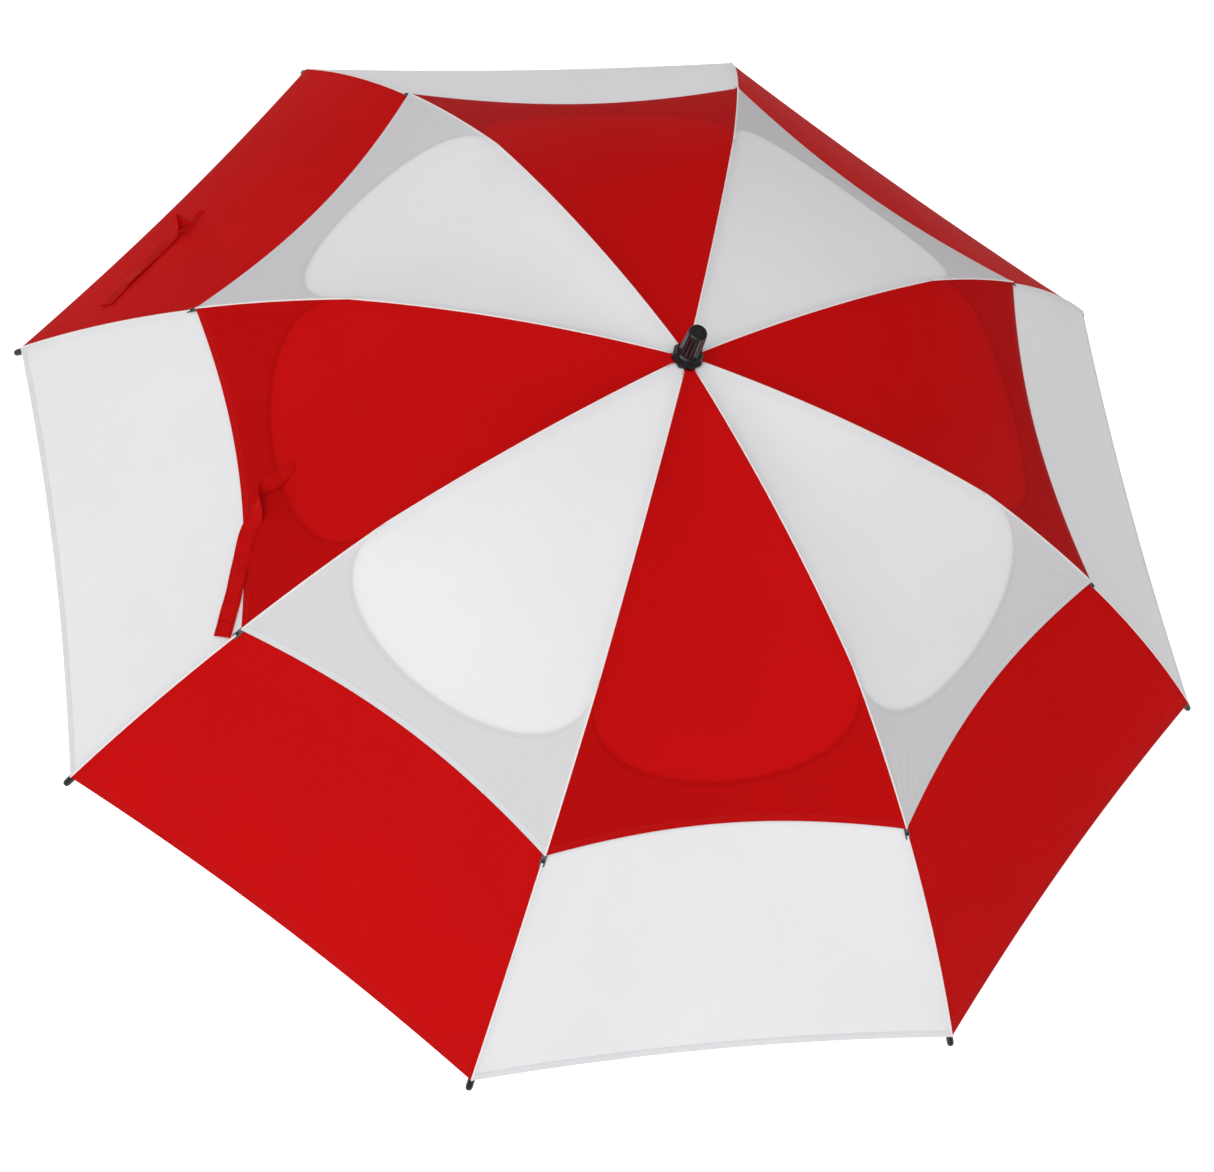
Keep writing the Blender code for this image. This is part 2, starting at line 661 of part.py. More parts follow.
def main():
    for thing in list(bpy.data.objects):
        bpy.data.objects.remove(thing)
    looks = make_materials()
    make_root(looks)
    make_runner(looks)
    make_ribs(looks)
    make_straps(looks)


main()
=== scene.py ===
"""Looks of the vented golf umbrella: two canopies of stretched fabric, seams, straps and hardware.

Lengths are in metres. Rib 1 lies along +X, and the other ribs are its turned copies.
"""
import json
import math

import bmesh
import bpy
from mathutils import Matrix, Vector

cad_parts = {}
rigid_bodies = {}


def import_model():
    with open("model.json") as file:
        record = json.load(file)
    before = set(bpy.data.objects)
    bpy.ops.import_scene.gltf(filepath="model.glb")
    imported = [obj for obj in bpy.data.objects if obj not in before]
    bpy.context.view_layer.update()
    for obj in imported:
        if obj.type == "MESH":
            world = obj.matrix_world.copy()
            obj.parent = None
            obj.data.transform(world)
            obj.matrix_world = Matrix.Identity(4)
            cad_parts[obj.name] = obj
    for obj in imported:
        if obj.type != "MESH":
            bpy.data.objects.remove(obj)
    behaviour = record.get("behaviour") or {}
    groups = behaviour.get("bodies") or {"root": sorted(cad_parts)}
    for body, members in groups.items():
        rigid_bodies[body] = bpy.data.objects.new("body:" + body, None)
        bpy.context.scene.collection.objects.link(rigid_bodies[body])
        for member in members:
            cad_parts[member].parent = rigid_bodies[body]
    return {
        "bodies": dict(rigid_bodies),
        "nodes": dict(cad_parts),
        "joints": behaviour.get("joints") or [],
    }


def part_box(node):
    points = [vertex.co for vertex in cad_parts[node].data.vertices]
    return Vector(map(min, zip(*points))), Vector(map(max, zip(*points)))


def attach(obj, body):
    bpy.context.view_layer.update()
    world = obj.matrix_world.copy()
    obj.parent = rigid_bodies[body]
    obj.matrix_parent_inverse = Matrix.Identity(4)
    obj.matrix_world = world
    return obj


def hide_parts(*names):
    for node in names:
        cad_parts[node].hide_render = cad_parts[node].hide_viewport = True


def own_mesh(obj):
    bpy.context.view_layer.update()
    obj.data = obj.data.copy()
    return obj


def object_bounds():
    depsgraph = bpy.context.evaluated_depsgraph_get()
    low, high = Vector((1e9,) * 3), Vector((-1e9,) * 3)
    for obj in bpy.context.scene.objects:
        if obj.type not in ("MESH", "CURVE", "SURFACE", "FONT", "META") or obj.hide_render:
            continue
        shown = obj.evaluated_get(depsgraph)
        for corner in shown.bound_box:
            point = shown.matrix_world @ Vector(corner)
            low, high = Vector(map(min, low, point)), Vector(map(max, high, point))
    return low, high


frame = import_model()
cad_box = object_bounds()

# From the frame: the hinge and the knee of rib 1, which lies along +X
JOINTS = {joint["name"]: joint for joint in frame["joints"]}
HINGE = Vector(JOINTS["canopy_fold"]["pos_m"])
KNEE = Vector(JOINTS["rib_knee_1"]["pos_m"])
RIB_COUNT = sum(name.startswith("rib_inner_") for name in frame["bodies"])
PANEL_ANGLE = 2 * math.pi / RIB_COUNT

# Ribs seen from the side are arcs of one radius, with a knee between them
RIB_RADIUS = 1.157
OUTER_SLOPE = math.radians(29.3)
OUTER_LENGTH = 0.432
HEM_START = 0.181  # the upper canopy's corner, from the knee
CHORD = math.hypot(KNEE.x - HINGE.x, KNEE.z - HINGE.z)
INNER_LENGTH = 2 * RIB_RADIUS * math.asin(CHORD / (2 * RIB_RADIUS))
INNER_SLOPE = math.atan2(HINGE.z - KNEE.z, KNEE.x - HINGE.x) - INNER_LENGTH / (2 * RIB_RADIUS)

# Canopy
LOWER_RISE = 0.0050  # fabric above the rib's middle line
UPPER_RISE = 0.0080
SAG = 0.012  # how far the stretched fabric dips between two ribs
SAG_PHASE, SAG_SWEEP, SAG_POWER = 0.15, 0.75, 0.8  # the dip along a panel, as part of a sine's half turn
SAG_START = 0.10  # the length over which the dip grows from nothing at the notch
NOTCH_COVER = 0.006  # no dip this far from the hinge
KNEE_EASE = 0.11  # how far from the knee its bend is rounded, in the middle of a panel
HOLE_BULGE = 0.112  # how far down a lower panel its opening reaches
HOLE_START = 0.004
UPPER_SCALLOP = 0.019  # how far the middle of a hem is cut in
LOWER_SCALLOP = 0.009
HEM_WIDTH = 0.008
HEM_DEPTH = 0.0009
HEM_CURL = 0.0005  # the folded edge's own radius
COLUMNS = 18  # cells across half a panel
EDGE_CELL = 0.002  # narrow cells where two pieces meet keep their shading alike

# Seam piping, and the elastic tab with a rivet at each corner of the upper canopy
PIPING_WIDTH = 0.0022
PIPING_HEIGHT = 0.0012
PIPING_LIFT = 0.0002
TAB_BEFORE = 0.010  # how much of the tab lies under the upper canopy
TAB_LENGTH = 0.022
TAB_WIDTH = 0.0055
TAB_THICKNESS = 0.0007
TAB_CELLS = 8
TAB_TOP = UPPER_RISE - 0.0012
TAB_FALL = 0.0018
RIVET_CELL = 6
RIVET_RADIUS = 0.0020
RIVET_FLATNESS = 0.55
RIVET_LIFT = 0.0003

# Straps: each row is the length past the knee, the share across the panel, the roll in degrees and the lift
STRAP_THICKNESS = 0.0011
STRAP_RIPPLE = 0.0004
STRAP_COLUMNS = 11
ROUTE_STEPS = 12
STRAP_TAPER = 0.030  # the loose end narrows over this length
STRAP_END_SHARE = 0.25  # to this share of its width
STRAP_EDGE_DROP = 0.4
RIPPLE_RATE = 150.0
RIPPLE_SKEW = 0.6
LOWER_STRAP_WIDTH = 0.018
LOWER_STRAP_ROUTE = (
    (0.350, 0.532, 150.0, 0.001),
    (0.353, 0.565, 178.0, 0.001),
    (0.354, 0.595, 90.0, 0.001),
    (0.354, 0.635, 4.0, 0.001),
    (0.353, 0.700, -3.0, 0.0008),
    (0.351, 0.790, 5.0, 0.0008),
    (0.347, 0.860, -3.0, 0.0006),
    (0.343, 0.900, 0.0, 0.0004),
)
UPPER_STRAP_WIDTH = 0.019
UPPER_STRAP_ROUTE = (
    (0.092, 0.575, 176.0, 0.001),
    (0.106, 0.600, 172.0, 0.002),
    (0.122, 0.622, 150.0, 0.003),
    (0.134, 0.650, 80.0, 0.002),
    (0.147, 0.692, 10.0, 0.001),
    (0.162, 0.745, -3.0, 0.0008),
    (0.181, 0.860, 3.0, 0.0008),
    (0.194, 0.930, -2.0, 0.0006),
    (0.205, 0.980, 0.0, 0.0006),
)

# Ferrule, its lip ring and the ring below the collar
LIP_RADIUS = 0.0136
LIP_ROUNDING = 0.0016
LIP_MIDDLE = 0.0018  # above the ferrule's base
RIM_HEIGHT = 0.0034
FLATS = 10
FLAT_DEPTH = 0.0008
SPACER_RADIUS = 0.0095
SPACER_BORE = 0.0071

# Cloth, its weave and its stitches
# The darker second colour of each cloth serves both random drift in tone and painted shade where the other
# canopy lies under the cloth
RED = (0.56, 0.0046, 0.0050)
RED_DRIFT_AND_PAINTED_SHADE = (0.40, 0.0028, 0.0030)
WHITE = (0.81, 0.822, 0.84)
WHITE_DRIFT_AND_PAINTED_SHADE = (0.69, 0.705, 0.73)
THREAD = 0.0008
HEM_STITCH = 0.0030
STITCH_INSET = 0.0015
STITCH_HALF_WIDTH = 0.0004
TAPE_RIB = 0.0012
TAPE_STITCH = 0.0028
TAPE_END_LINE = 0.016
TAPE_RED = (0.62, 0.004, 0.004)
TAPE_VALLEY = (0.44, 0.002, 0.002)
TAPE_WORN = (0.46, 0.002, 0.002)
TAPE_THREAD = (0.26, 0.002, 0.002)

# Stage
FLOOR_REACH = 9
FLOOR_GAP = 0.002
SKY_STRENGTH = 0.42
LIGHT_AIM = Vector((0, 0, 0.7))
LIGHTS = (  # name, place, size, power, whether it lights the cloth
    ("key", (-1.2, -1.7, 4.4), 3.0, 92.0, True),
    ("fill", (1.6, -3.0, 2.4), 2.5, 16.0, True),
    ("glint", (-1.9, -1.5, 2.3), 0.6, 14.0, False),
)

# Camera, from the side and above; its angles are in degrees and its lens in millimetres
CAMERA_AIM = Vector((0.021, -0.003, 0.480))
CAMERA_DISTANCE = 4.093
CAMERA_AZIMUTH = -8.61
CAMERA_ELEVATION = 58.90
CAMERA_ROLL = 24.21
CAMERA_LENS = 106.8


# Curves of the canopy


def arc_point(slope, length):
    """(r, z) after length along an arc that starts with slope; z falls."""
    end = slope + length / RIB_RADIUS
    return RIB_RADIUS * (math.sin(end) - math.sin(slope)), -RIB_RADIUS * (math.cos(slope) - math.cos(end))


def seam_point(length, rise):
    """(r, z) of the seam above a rib. length counts from the hinge, over the knee."""
    start, slope, run = HINGE, INNER_SLOPE, length
    if length > INNER_LENGTH:
        start, slope, run = KNEE, OUTER_SLOPE, length - INNER_LENGTH
    r, z = arc_point(slope, run)
    lean = slope + run / RIB_RADIUS
    return start.x + r + rise * math.sin(lean), start.z + z + rise * math.cos(lean)


def sag_at(length, share):
    """How far the fabric dips at a point between two ribs; nothing over the notch."""
    reach = min(1.0, length / (INNER_LENGTH + OUTER_LENGTH))
    start = min(1.0, max(0.0, length - NOTCH_COVER) / SAG_START)
    along = math.sin(math.pi * (SAG_PHASE + SAG_SWEEP * reach)) ** SAG_POWER
    return SAG * 4 * share * (1 - share) * along * start


def eased_knee(length, share):
    """(r, z) shift that rounds the knee's bend away from the ribs, where only stretched cloth spans it."""
    reach = KNEE_EASE * math.sqrt(4 * share * (1 - share))
    off = abs(length - INNER_LENGTH)
    if off >= reach:
        return 0.0, 0.0
    before = INNER_SLOPE + INNER_LENGTH / RIB_RADIUS
    pull = (reach - off) ** 2 / (4 * reach)
    turn = (math.cos(OUTER_SLOPE) - math.cos(before), math.sin(before) - math.sin(OUTER_SLOPE))
    return turn[0] * pull, turn[1] * pull


def fabric_point(length, share, rise):
    """A point between rib 1 (share 0) and rib 2 (share 1), just inside the line between their seams."""
    r, z = seam_point(length, rise - sag_at(length, share))
    ease = eased_knee(length, share)
    r, z = r + ease[0], z + ease[1]
    return Vector((r * (1 - share + share * math.cos(PANEL_ANGLE)), r * share * math.sin(PANEL_ANGLE), z))


def upper_hem(share):
    return INNER_LENGTH + HEM_START - UPPER_SCALLOP * (1 - (2 * share - 1) ** 2)


def lower_hem(share):
    return INNER_LENGTH + OUTER_LENGTH - LOWER_SCALLOP * (1 - (2 * share - 1) ** 2)


def hole_edge(share):
    return INNER_LENGTH + HOLE_START + HOLE_BULGE * math.sqrt(max(0.0, 1 - (2 * share - 1) ** 2))


def spread(start, end, count):
    return [start + (end - start) * i / count for i in range(count + 1)]


def turned(angle):
    return Matrix.Rotation(angle, 4, "Z")


# Shader helpers

SOCKETS = {
    "color": "Base Color",
    "roughness": "Roughness",
    "metallic": "Metallic",
    "specular": "Specular IOR Level",
}


class Look:
    """A material's node tree, with short calls for the nodes that are used often."""

    def __init__(self, name):
        self.material = bpy.data.materials.new(name)
        self.material.use_nodes = True
        self.tree = self.material.node_tree
        self.shader = self.tree.nodes["Principled BSDF"]
        self.output = self.tree.nodes["Material Output"]

    def node(self, kind, **settings):
        made = self.tree.nodes.new(kind)
        for key, value in settings.items():
            setattr(made, key, value)
        return made

    def link(self, source, target):
        self.tree.links.new(source, target)

    def put(self, value, socket):
        if isinstance(value, (int, float)):
            socket.default_value = value
        elif isinstance(value, tuple):
            socket.default_value = (*value, 1.0) if len(value) == 3 else value
        else:
            self.link(value, socket)

    def math(self, operation, first, second=None, third=None):
        made = self.node("ShaderNodeMath", operation=operation)
        for i, value in enumerate((first, second, third)):
            if value is not None:
                self.put(value, made.inputs[i])
        return made.outputs[0]

    def attribute(self, name):
        return self.node("ShaderNodeAttribute", attribute_name=name).outputs["Fac"]

    def position(self):
        return self.node("ShaderNodeTexCoord").outputs["Object"]

    def uv(self):
        return self.node("ShaderNodeTexCoord").outputs["UV"]

    def noise(self, scale, detail=3.0, where=None, rough=0.55):
        made = self.node("ShaderNodeTexNoise")
        made.inputs["Scale"].default_value = scale
        made.inputs["Detail"].default_value = detail
        made.inputs["Roughness"].default_value = rough
        self.link(where or self.position(), made.inputs["Vector"])
        return made.outputs["Fac"]

    def wave(self, value, length):
        """A sine of value that repeats after length."""
        return self.math("SINE", self.math("MULTIPLY", value, 2 * math.pi / length))

    def near(self, value, middle, reach):
        """1 where value is within reach of middle, else 0."""
        return self.math("LESS_THAN", self.math("ABSOLUTE", self.math("SUBTRACT", value, middle)), reach)

    def ramp(self, value, low, high, from_low=0.0, from_high=1.0):
        """value from from_low..from_high as a number low..high."""
        made = self.node("ShaderNodeMapRange")
        self.put(value, made.inputs["Value"])
        ends = {"From Min": from_low, "From Max": from_high, "To Min": low, "To Max": high}
        for key, number in ends.items():
            self.put(number, made.inputs[key])
        return made.outputs["Result"]

    def mix(self, share, first, second, blend="MIX"):
        made = self.node("ShaderNodeMix", data_type="RGBA", blend_type=blend)
        self.put(share, made.inputs["Factor"])
        self.put(first, made.inputs["A"])
        self.put(second, made.inputs["B"])
        return made.outputs["Result"]

    def bump(self, height, distance, strength=1.0):
        made = self.node("ShaderNodeBump")
        made.inputs["Distance"].default_value = distance
        made.inputs["Strength"].default_value = strength
        self.link(height, made.inputs["Height"])
        self.link(made.outputs["Normal"], self.shader.inputs["Normal"])

    def set(self, **values):
        for key, value in values.items():
            self.put(value, self.shader.inputs[SOCKETS[key]])


def lighter(color, share, lift):
    return tuple(min(1.0, c * share + lift) for c in color)


def fabric_look(name, color, shade, glow, painted_shade_share, gloss):
    """Pongee stretched tight: fine weave, hem band with stitches, creases that run from the corner.

    Light passes through by the share glow. Where the other canopy lies under the cloth, the tone is
    darkened towards shade as painted shade, by the share that follows glow, and more in a painted line over
    that canopy's folded edge.
    """
    look = Look(name)
    split = look.node("ShaderNodeSeparateXYZ")
    look.link(look.uv(), split.inputs[0])
    across, along = split.outputs[0], split.outputs[1]
    warp = look.wave(across, THREAD)
    weft = look.wave(along, THREAD)
    weave = look.math("MULTIPLY_ADD", look.math("MULTIPLY", warp, weft), 0.5, 0.5)
    hem = look.attribute("hem")
    band = look.ramp(hem, 1.0, 0.0, HEM_WIDTH - 0.0006, HEM_WIDTH)
    stitch_row = look.near(hem, HEM_WIDTH - STITCH_INSET, STITCH_HALF_WIDTH)
    stitch_gap = look.math("GREATER_THAN", look.wave(across, HEM_STITCH), -0.3)
    stitch = look.math("MULTIPLY", stitch_row, stitch_gap)
    drift = look.noise(5.0, 4.0)
    # Painted shade: the tone darkens where the other canopy lies under the cloth
    covered = look.attribute("covered")
    second_layer = look.ramp(covered, 0.0, 1.0, -0.0006, 0.0006)
    # Painted shade line over the lower canopy's folded edge, just past its opening
    painted_hem_line_shade = look.math("MULTIPLY", second_layer, look.ramp(covered, 1.0, 0.0, 0.0062, 0.0070))
    tone = look.mix(look.ramp(drift, 0.0, 0.25, 0.35, 0.7), color, shade)
    # Share of painted shade over the other canopy; the painted line over its folded edge adds more
    under = look.math("MULTIPLY", second_layer, painted_shade_share)
    tone = look.mix(look.math("MULTIPLY_ADD", painted_hem_line_shade, 0.35, under), tone, shade)
    tone = look.mix(look.math("MULTIPLY", band, 0.15), tone, lighter(color, 1.12, 0.01))
    tone = look.mix(look.math("MULTIPLY", stitch, 0.35), tone, lighter(color, 1.3, 0.03))
    crease = creases(look, across, look.attribute("corner"))
    height = look.math("MULTIPLY_ADD", weave, 0.04, look.math("MULTIPLY", crease, 0.25))
    height = look.math("ADD", height, look.math("MULTIPLY", band, 0.35))
    height = look.math("ADD", height, look.math("MULTIPLY", look.noise(9.0, 2.0), 0.8))
    height = look.math("SUBTRACT", height, look.math("MULTIPLY", stitch, 0.3))
    look.bump(height, 0.0012, 0.9)
    look.set(color=tone, roughness=look.ramp(weave, 0.66, 0.76), specular=gloss)
    through = look.node("ShaderNodeBsdfTranslucent")
    look.put(tone, through.inputs["Color"])
    both = look.node("ShaderNodeMixShader")
    both.inputs["Fac"].default_value = glow
    look.link(look.shader.outputs["BSDF"], both.inputs[1])
    look.link(through.outputs["BSDF"], both.inputs[2])
    look.link(both.outputs["Shader"], look.output.inputs["Surface"])
    return look.material


def creases(look, across, back):
    """Fine pulls that fan out from a panel's corner and fade within a hand's width."""
    angle = look.math("ARCTAN2", across, back)
    squares = (look.math("MULTIPLY", across, across), look.math("MULTIPLY", back, back))
    reach = look.math("SQRT", look.math("ADD", *squares))
    wobble = look.math("MULTIPLY", look.noise(14.0, 2.0), 2.5)
    fan = look.math("SINE", look.math("ADD", look.math("MULTIPLY", angle, 26.0), wobble))
    fade = look.ramp(reach, 1.0, 0.0, 0.02, 0.16)
    near = look.ramp(reach, 0.0, 1.0, 0.0, 0.03)
    return look.math("MULTIPLY", look.math("MULTIPLY", fan, look.math("MULTIPLY", fade, near)), 0.5)


def piping_look():
    look = Look("seam_piping")
    grain = look.noise(900.0, 2.0)
    look.set(color=look.mix(grain, (0.78, 0.74, 0.73), (0.93, 0.90, 0.89)), roughness=0.75, specular=0.1)
    look.bump(grain, 0.0003, 0.6)
    return look.material


def strap_look():
    """Red tape of doubled cloth: fine ribs across it, sewn edges, a line of stitches over its sewn end."""
    look = Look("strap_tape")
    split = look.node("ShaderNodeSeparateXYZ")
    look.link(look.uv(), split.inputs[0])
    across = look.math("ABSOLUTE", split.outputs[0])
    along = split.outputs[1]
    rib = look.wave(along, TAPE_RIB)
    edge = look.ramp(across, 0.0, 1.0, 0.80, 0.92)
    stitch_line = look.near(across, 0.78, 0.035)
    end_line = look.near(along, TAPE_END_LINE, 0.0005)
    broken = look.math("GREATER_THAN", look.wave(along, TAPE_STITCH), -0.4)
    stitch = look.math("MAXIMUM", look.math("MULTIPLY", stitch_line, broken), end_line)
    tone = look.mix(look.ramp(rib, 0.0, 0.3, -1.0, 1.0), TAPE_RED, TAPE_VALLEY)
    tone = look.mix(look.ramp(look.noise(60.0), 0.0, 0.5, 0.4, 0.7), tone, TAPE_WORN)
    tone = look.mix(look.math("MULTIPLY", stitch, 0.6), tone, TAPE_THREAD)
    look.set(color=tone, roughness=look.ramp(rib, 0.74, 0.84, -1.0, 1.0), specular=0.05)
    ridges = look.math("MULTIPLY_ADD", edge, 1.5, rib)
    height = look.math("SUBTRACT", ridges, look.math("MULTIPLY", stitch, 2.0))
    look.bump(height, 0.0002, 0.8)
    return look.material


def plastic_look(name, color, roughness, grain_scale, gloss):
    """Moulded plastic: fine pitted grain, faint scuffs that are duller than the rest."""
    look = Look(name)
    grain = look.noise(grain_scale, 2.0)
    scuff = look.noise(35.0, 5.0, rough=0.7)
    paler = tuple(c * 1.6 + 0.01 for c in color)
    look.set(color=look.mix(look.ramp(scuff, 0.0, 0.6, 0.5, 0.75), color, paler))
    look.set(roughness=look.ramp(scuff, roughness, roughness + 0.12, 0.35, 0.75), specular=gloss)
    look.bump(grain, 0.0001, 0.25)
    return look.material


def foam_look():
    look = Look("handle_foam")
    cells = look.node("ShaderNodeTexVoronoi", feature="F1")
    cells.inputs["Scale"].default_value = 1500.0
    look.link(look.position(), cells.inputs["Vector"])
    wear = look.noise(25.0, 4.0)
    look.set(color=look.mix(wear, (0.018, 0.018, 0.019), (0.045, 0.045, 0.047)))
    look.set(roughness=look.ramp(wear, 0.75, 0.92), specular=0.3)
    look.bump(cells.outputs["Distance"], 0.0004, 0.7)
    return look.material


def metal_look(name, color, roughness, metallic, stretch):
    """Drawn metal: fine lines along the piece, small scratches, duller where it is handled."""
    look = Look(name)
    scaled = look.node("ShaderNodeMapping")
    scaled.inputs["Scale"].default_value = stretch
    look.link(look.position(), scaled.inputs["Vector"])
    lines = look.noise(1.0, 4.0, scaled.outputs["Vector"], 0.7)
    wear = look.noise(30.0, 5.0, rough=0.65)
    darker = tuple(c * 0.75 for c in color)
    look.set(color=look.mix(look.ramp(wear, 0.0, 0.5, 0.4, 0.8), color, darker), metallic=metallic)
    look.set(roughness=look.ramp(lines, roughness - 0.06, roughness + 0.12, 0.3, 0.7))
    look.bump(lines, 0.0001, 0.4)
    return look.material


# Mesh helpers


def piece(name, points, faces, look, smooth=True):
    mesh = bpy.data.meshes.new(name)
    mesh.from_pydata([tuple(p) for p in points], [], faces)
    mesh.materials.append(look)
    if smooth:
        mesh.shade_smooth()
    made = bpy.data.objects.new(name, mesh)
    bpy.context.scene.collection.objects.link(made)
    return made


def grid_faces(columns, rows, flip=False):
    faces = []
    for i in range(columns - 1):
        for j in range(rows - 1):
            corners = (i * rows + j, (i + 1) * rows + j, (i + 1) * rows + j + 1, i * rows + j + 1)
            faces.append(corners[::-1] if flip else corners)
    return faces


def point_numbers(made, name, numbers):
    layer = made.data.attributes.new(name, "FLOAT", "POINT")
    layer.data.foreach_set("value", numbers)


def lay_uv(made, uv):
    layer = made.data.uv_layers.new(name="UVMap")
    for loop in made.data.loops:
        layer.data[loop.index].uv = uv[loop.vertex_index]


def swept(path, normals, outline):
    """Points and faces of an outline of (across, up) corners that is carried along path and closed."""
    points = []
    for i, here in enumerate(path):
        ahead = (path[min(i + 1, len(path) - 1)] - path[max(i - 1, 0)]).normalized()
        across = ahead.cross(normals[i]).normalized()
        up = across.cross(ahead)
        points += [here + across * a + up * b for a, b in outline]
    count = len(outline)
    faces = []
    for i in range(len(path) - 1):
        for j in range(count):
            k = (j + 1) % count
            faces.append((i * count + j, i * count + k, (i + 1) * count + k, (i + 1) * count + j))
    faces.append(tuple(range(count))[::-1])
    faces.append(tuple(len(points) - count + j for j in range(count)))
    return points, faces


def oval(width, height, sides=10):
    step = 2 * math.pi / sides
    return [(width / 2 * math.cos(i * step), height / 2 * math.sin(i * step)) for i in range(sides)]


# Canopy pieces


def half_panel(part, number, side, lengths_at, rise, hem_at, corner, look):
    """The part of a panel from one rib to the panel's middle.

    side is 1 for the panel after the rib and -1 for the one before. lengths_at(share) gives the rows along
    the rib. The sheet is folded under at the hem, and in the lower canopy at the opening's edge too.
    """
    fold_low = part == "lower"
    shares = [0.5 * (1 - math.cos(math.pi / 2 * i / COLUMNS)) for i in range(COLUMNS + 1)]
    shares.insert(-1, 0.5 - EDGE_CELL)
    points, uv, hem_values, covered_values, corner_values = [], [], [], [], []
    for share in shares:
        rows = [(length, 0.0) for length in lengths_at(share)]
        end = rows[-1][0]
        if hem_at:
            rows += [(end + HEM_CURL, HEM_DEPTH / 2), (end, HEM_DEPTH), (end - HEM_WIDTH, HEM_DEPTH)]
        if fold_low:
            start = rows[0][0]
            under = [(start + HEM_WIDTH, HEM_DEPTH), (start, HEM_DEPTH)]
            rows = [*under, (start - HEM_CURL, HEM_DEPTH / 2), *rows]
        for length, drop in rows:
            here = fabric_point(length, share, rise - drop)
            points.append(here)
            r = math.hypot(here.x, here.y)
            uv.append((share * 2 * math.sin(PANEL_ANGLE / 2) * r, length))
            edges = [hem_at(share) - length] if hem_at else [1.0]
            if fold_low:
                edges.append(length - hole_edge(share))
            hem_values.append(max(0.0, min(edges)))
            # How far past the lower canopy's opening; the painted shade on the upper canopy starts there
            covered_values.append(length - hole_edge(share) if rise == UPPER_RISE else -1.0)
            corner_values.append(corner - length)
    if side < 0:
        points = [Vector((p.x, -p.y, p.z)) for p in points]
    turn = turned((number - 1) * PANEL_ANGLE)
    points = [turn @ p for p in points]
    word = "after" if side > 0 else "before"
    faces = grid_faces(len(shares), len(rows), side > 0)
    made = piece(f"{part}_fabric_{number}_{word}", points, faces, look)
    lay_uv(made, uv)
    point_numbers(made, "hem", hem_values)
    point_numbers(made, "covered", covered_values)
    point_numbers(made, "corner", corner_values)
    fold_towards_rib(made, part, number)
    return made


def fold_towards_rib(made, part, number):
    """The piece rides on a rib's body and moves with that rib as the umbrella closes."""
    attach(made, f"rib_inner_{number}" if part == "upper_inner" else f"rib_outer_{number}")
    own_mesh(made)


def flat_area(lengths_at, rise):
    """Half a panel's area as cut: strips between rows of lengths, from the rib to the panel's middle."""
    shares = spread(0.0, 0.5, 12)
    total = 0.0
    for a, b in zip(shares, shares[1:]):
        low, high = lengths_at(a), lengths_at(b)
        for i in range(len(low) - 1):
            corners = [fabric_point(low[i], a, rise), fabric_point(low[i + 1], a, rise)]
            corners += [fabric_point(high[i + 1], b, rise), fabric_point(high[i], b, rise)]
            total += (corners[2] - corners[0]).cross(corners[3] - corners[1]).length / 2
    return total


def make_canopies(looks):
    upper_corner = INNER_LENGTH + HEM_START
    lower_corner = INNER_LENGTH + OUTER_LENGTH

    def upper_inner(share):
        return [*spread(0.0, INNER_LENGTH, 18)[:-1], INNER_LENGTH - EDGE_CELL, INNER_LENGTH]

    def upper_outer(share):
        return [INNER_LENGTH, INNER_LENGTH + EDGE_CELL, *spread(INNER_LENGTH, upper_hem(share), 12)[1:]]

    def lower(share):
        return spread(hole_edge(share), lower_hem(share), 18)

    parts = (
        ("upper_inner", upper_inner, UPPER_RISE, None, upper_corner, "upper_panel"),
        ("upper_outer", upper_outer, UPPER_RISE, upper_hem, upper_corner, "upper_panel"),
        ("lower", lower, LOWER_RISE, lower_hem, lower_corner, "lower_panel"),
    )
    for number in range(1, RIB_COUNT + 1):
        before = (number - 2) % RIB_COUNT + 1
        for part, lengths_at, rise, hem_at, corner, node in parts:
            for side, panel in ((1, number), (-1, before)):
                is_red = (panel % 2 == 1) == (node == "upper_panel")
                fabric = "red_fabric" if is_red else "white_fabric"
                made = half_panel(part, number, side, lengths_at, rise, hem_at, corner, looks[fabric])
                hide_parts(f"{node}_{panel}")
                lengths = lengths_at(0.25)
                width = (lengths[-1] * PANEL_ANGLE) / 2
                hems = {"upper_inner": 0, "upper_outer": 1, "lower": 2}[part]
                hem_area = HEM_WIDTH * width * hems
                area = flat_area(lengths_at, rise) + hem_area


def make_seams(looks):
    """White piping over every rib seam, one run on each rib body."""
    for number in range(1, RIB_COUNT + 1):
        turn = turned((number - 1) * PANEL_ANGLE)
        inner = spread(0.004, INNER_LENGTH, 24)
        upper = spread(INNER_LENGTH, INNER_LENGTH + HEM_START, 14)
        lower = spread(INNER_LENGTH + 0.006, INNER_LENGTH + OUTER_LENGTH, 28)
        runs = (("inner", [(inner, UPPER_RISE)]), ("outer", [(upper, UPPER_RISE), (lower, LOWER_RISE)]))
        for part, stretches in runs:
            points, faces = [], []
            for lengths, rise in stretches:
                path = [fabric_point(length, 0.0, rise + PIPING_LIFT) for length in lengths]
                lifted = [fabric_point(length, 0.0, rise + 0.0100) for length in lengths]
                normals = [(b - a).normalized() for a, b in zip(path, lifted)]
                more, more_faces = swept(path, normals, oval(PIPING_WIDTH, PIPING_HEIGHT))
                faces += [tuple(i + len(points) for i in face) for face in more_faces]
                points += more
            made = piece(f"seam_piping_{part}_{number}", [turn @ p for p in points], faces, looks["piping"])
            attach(made, f"rib_{part}_{number}")


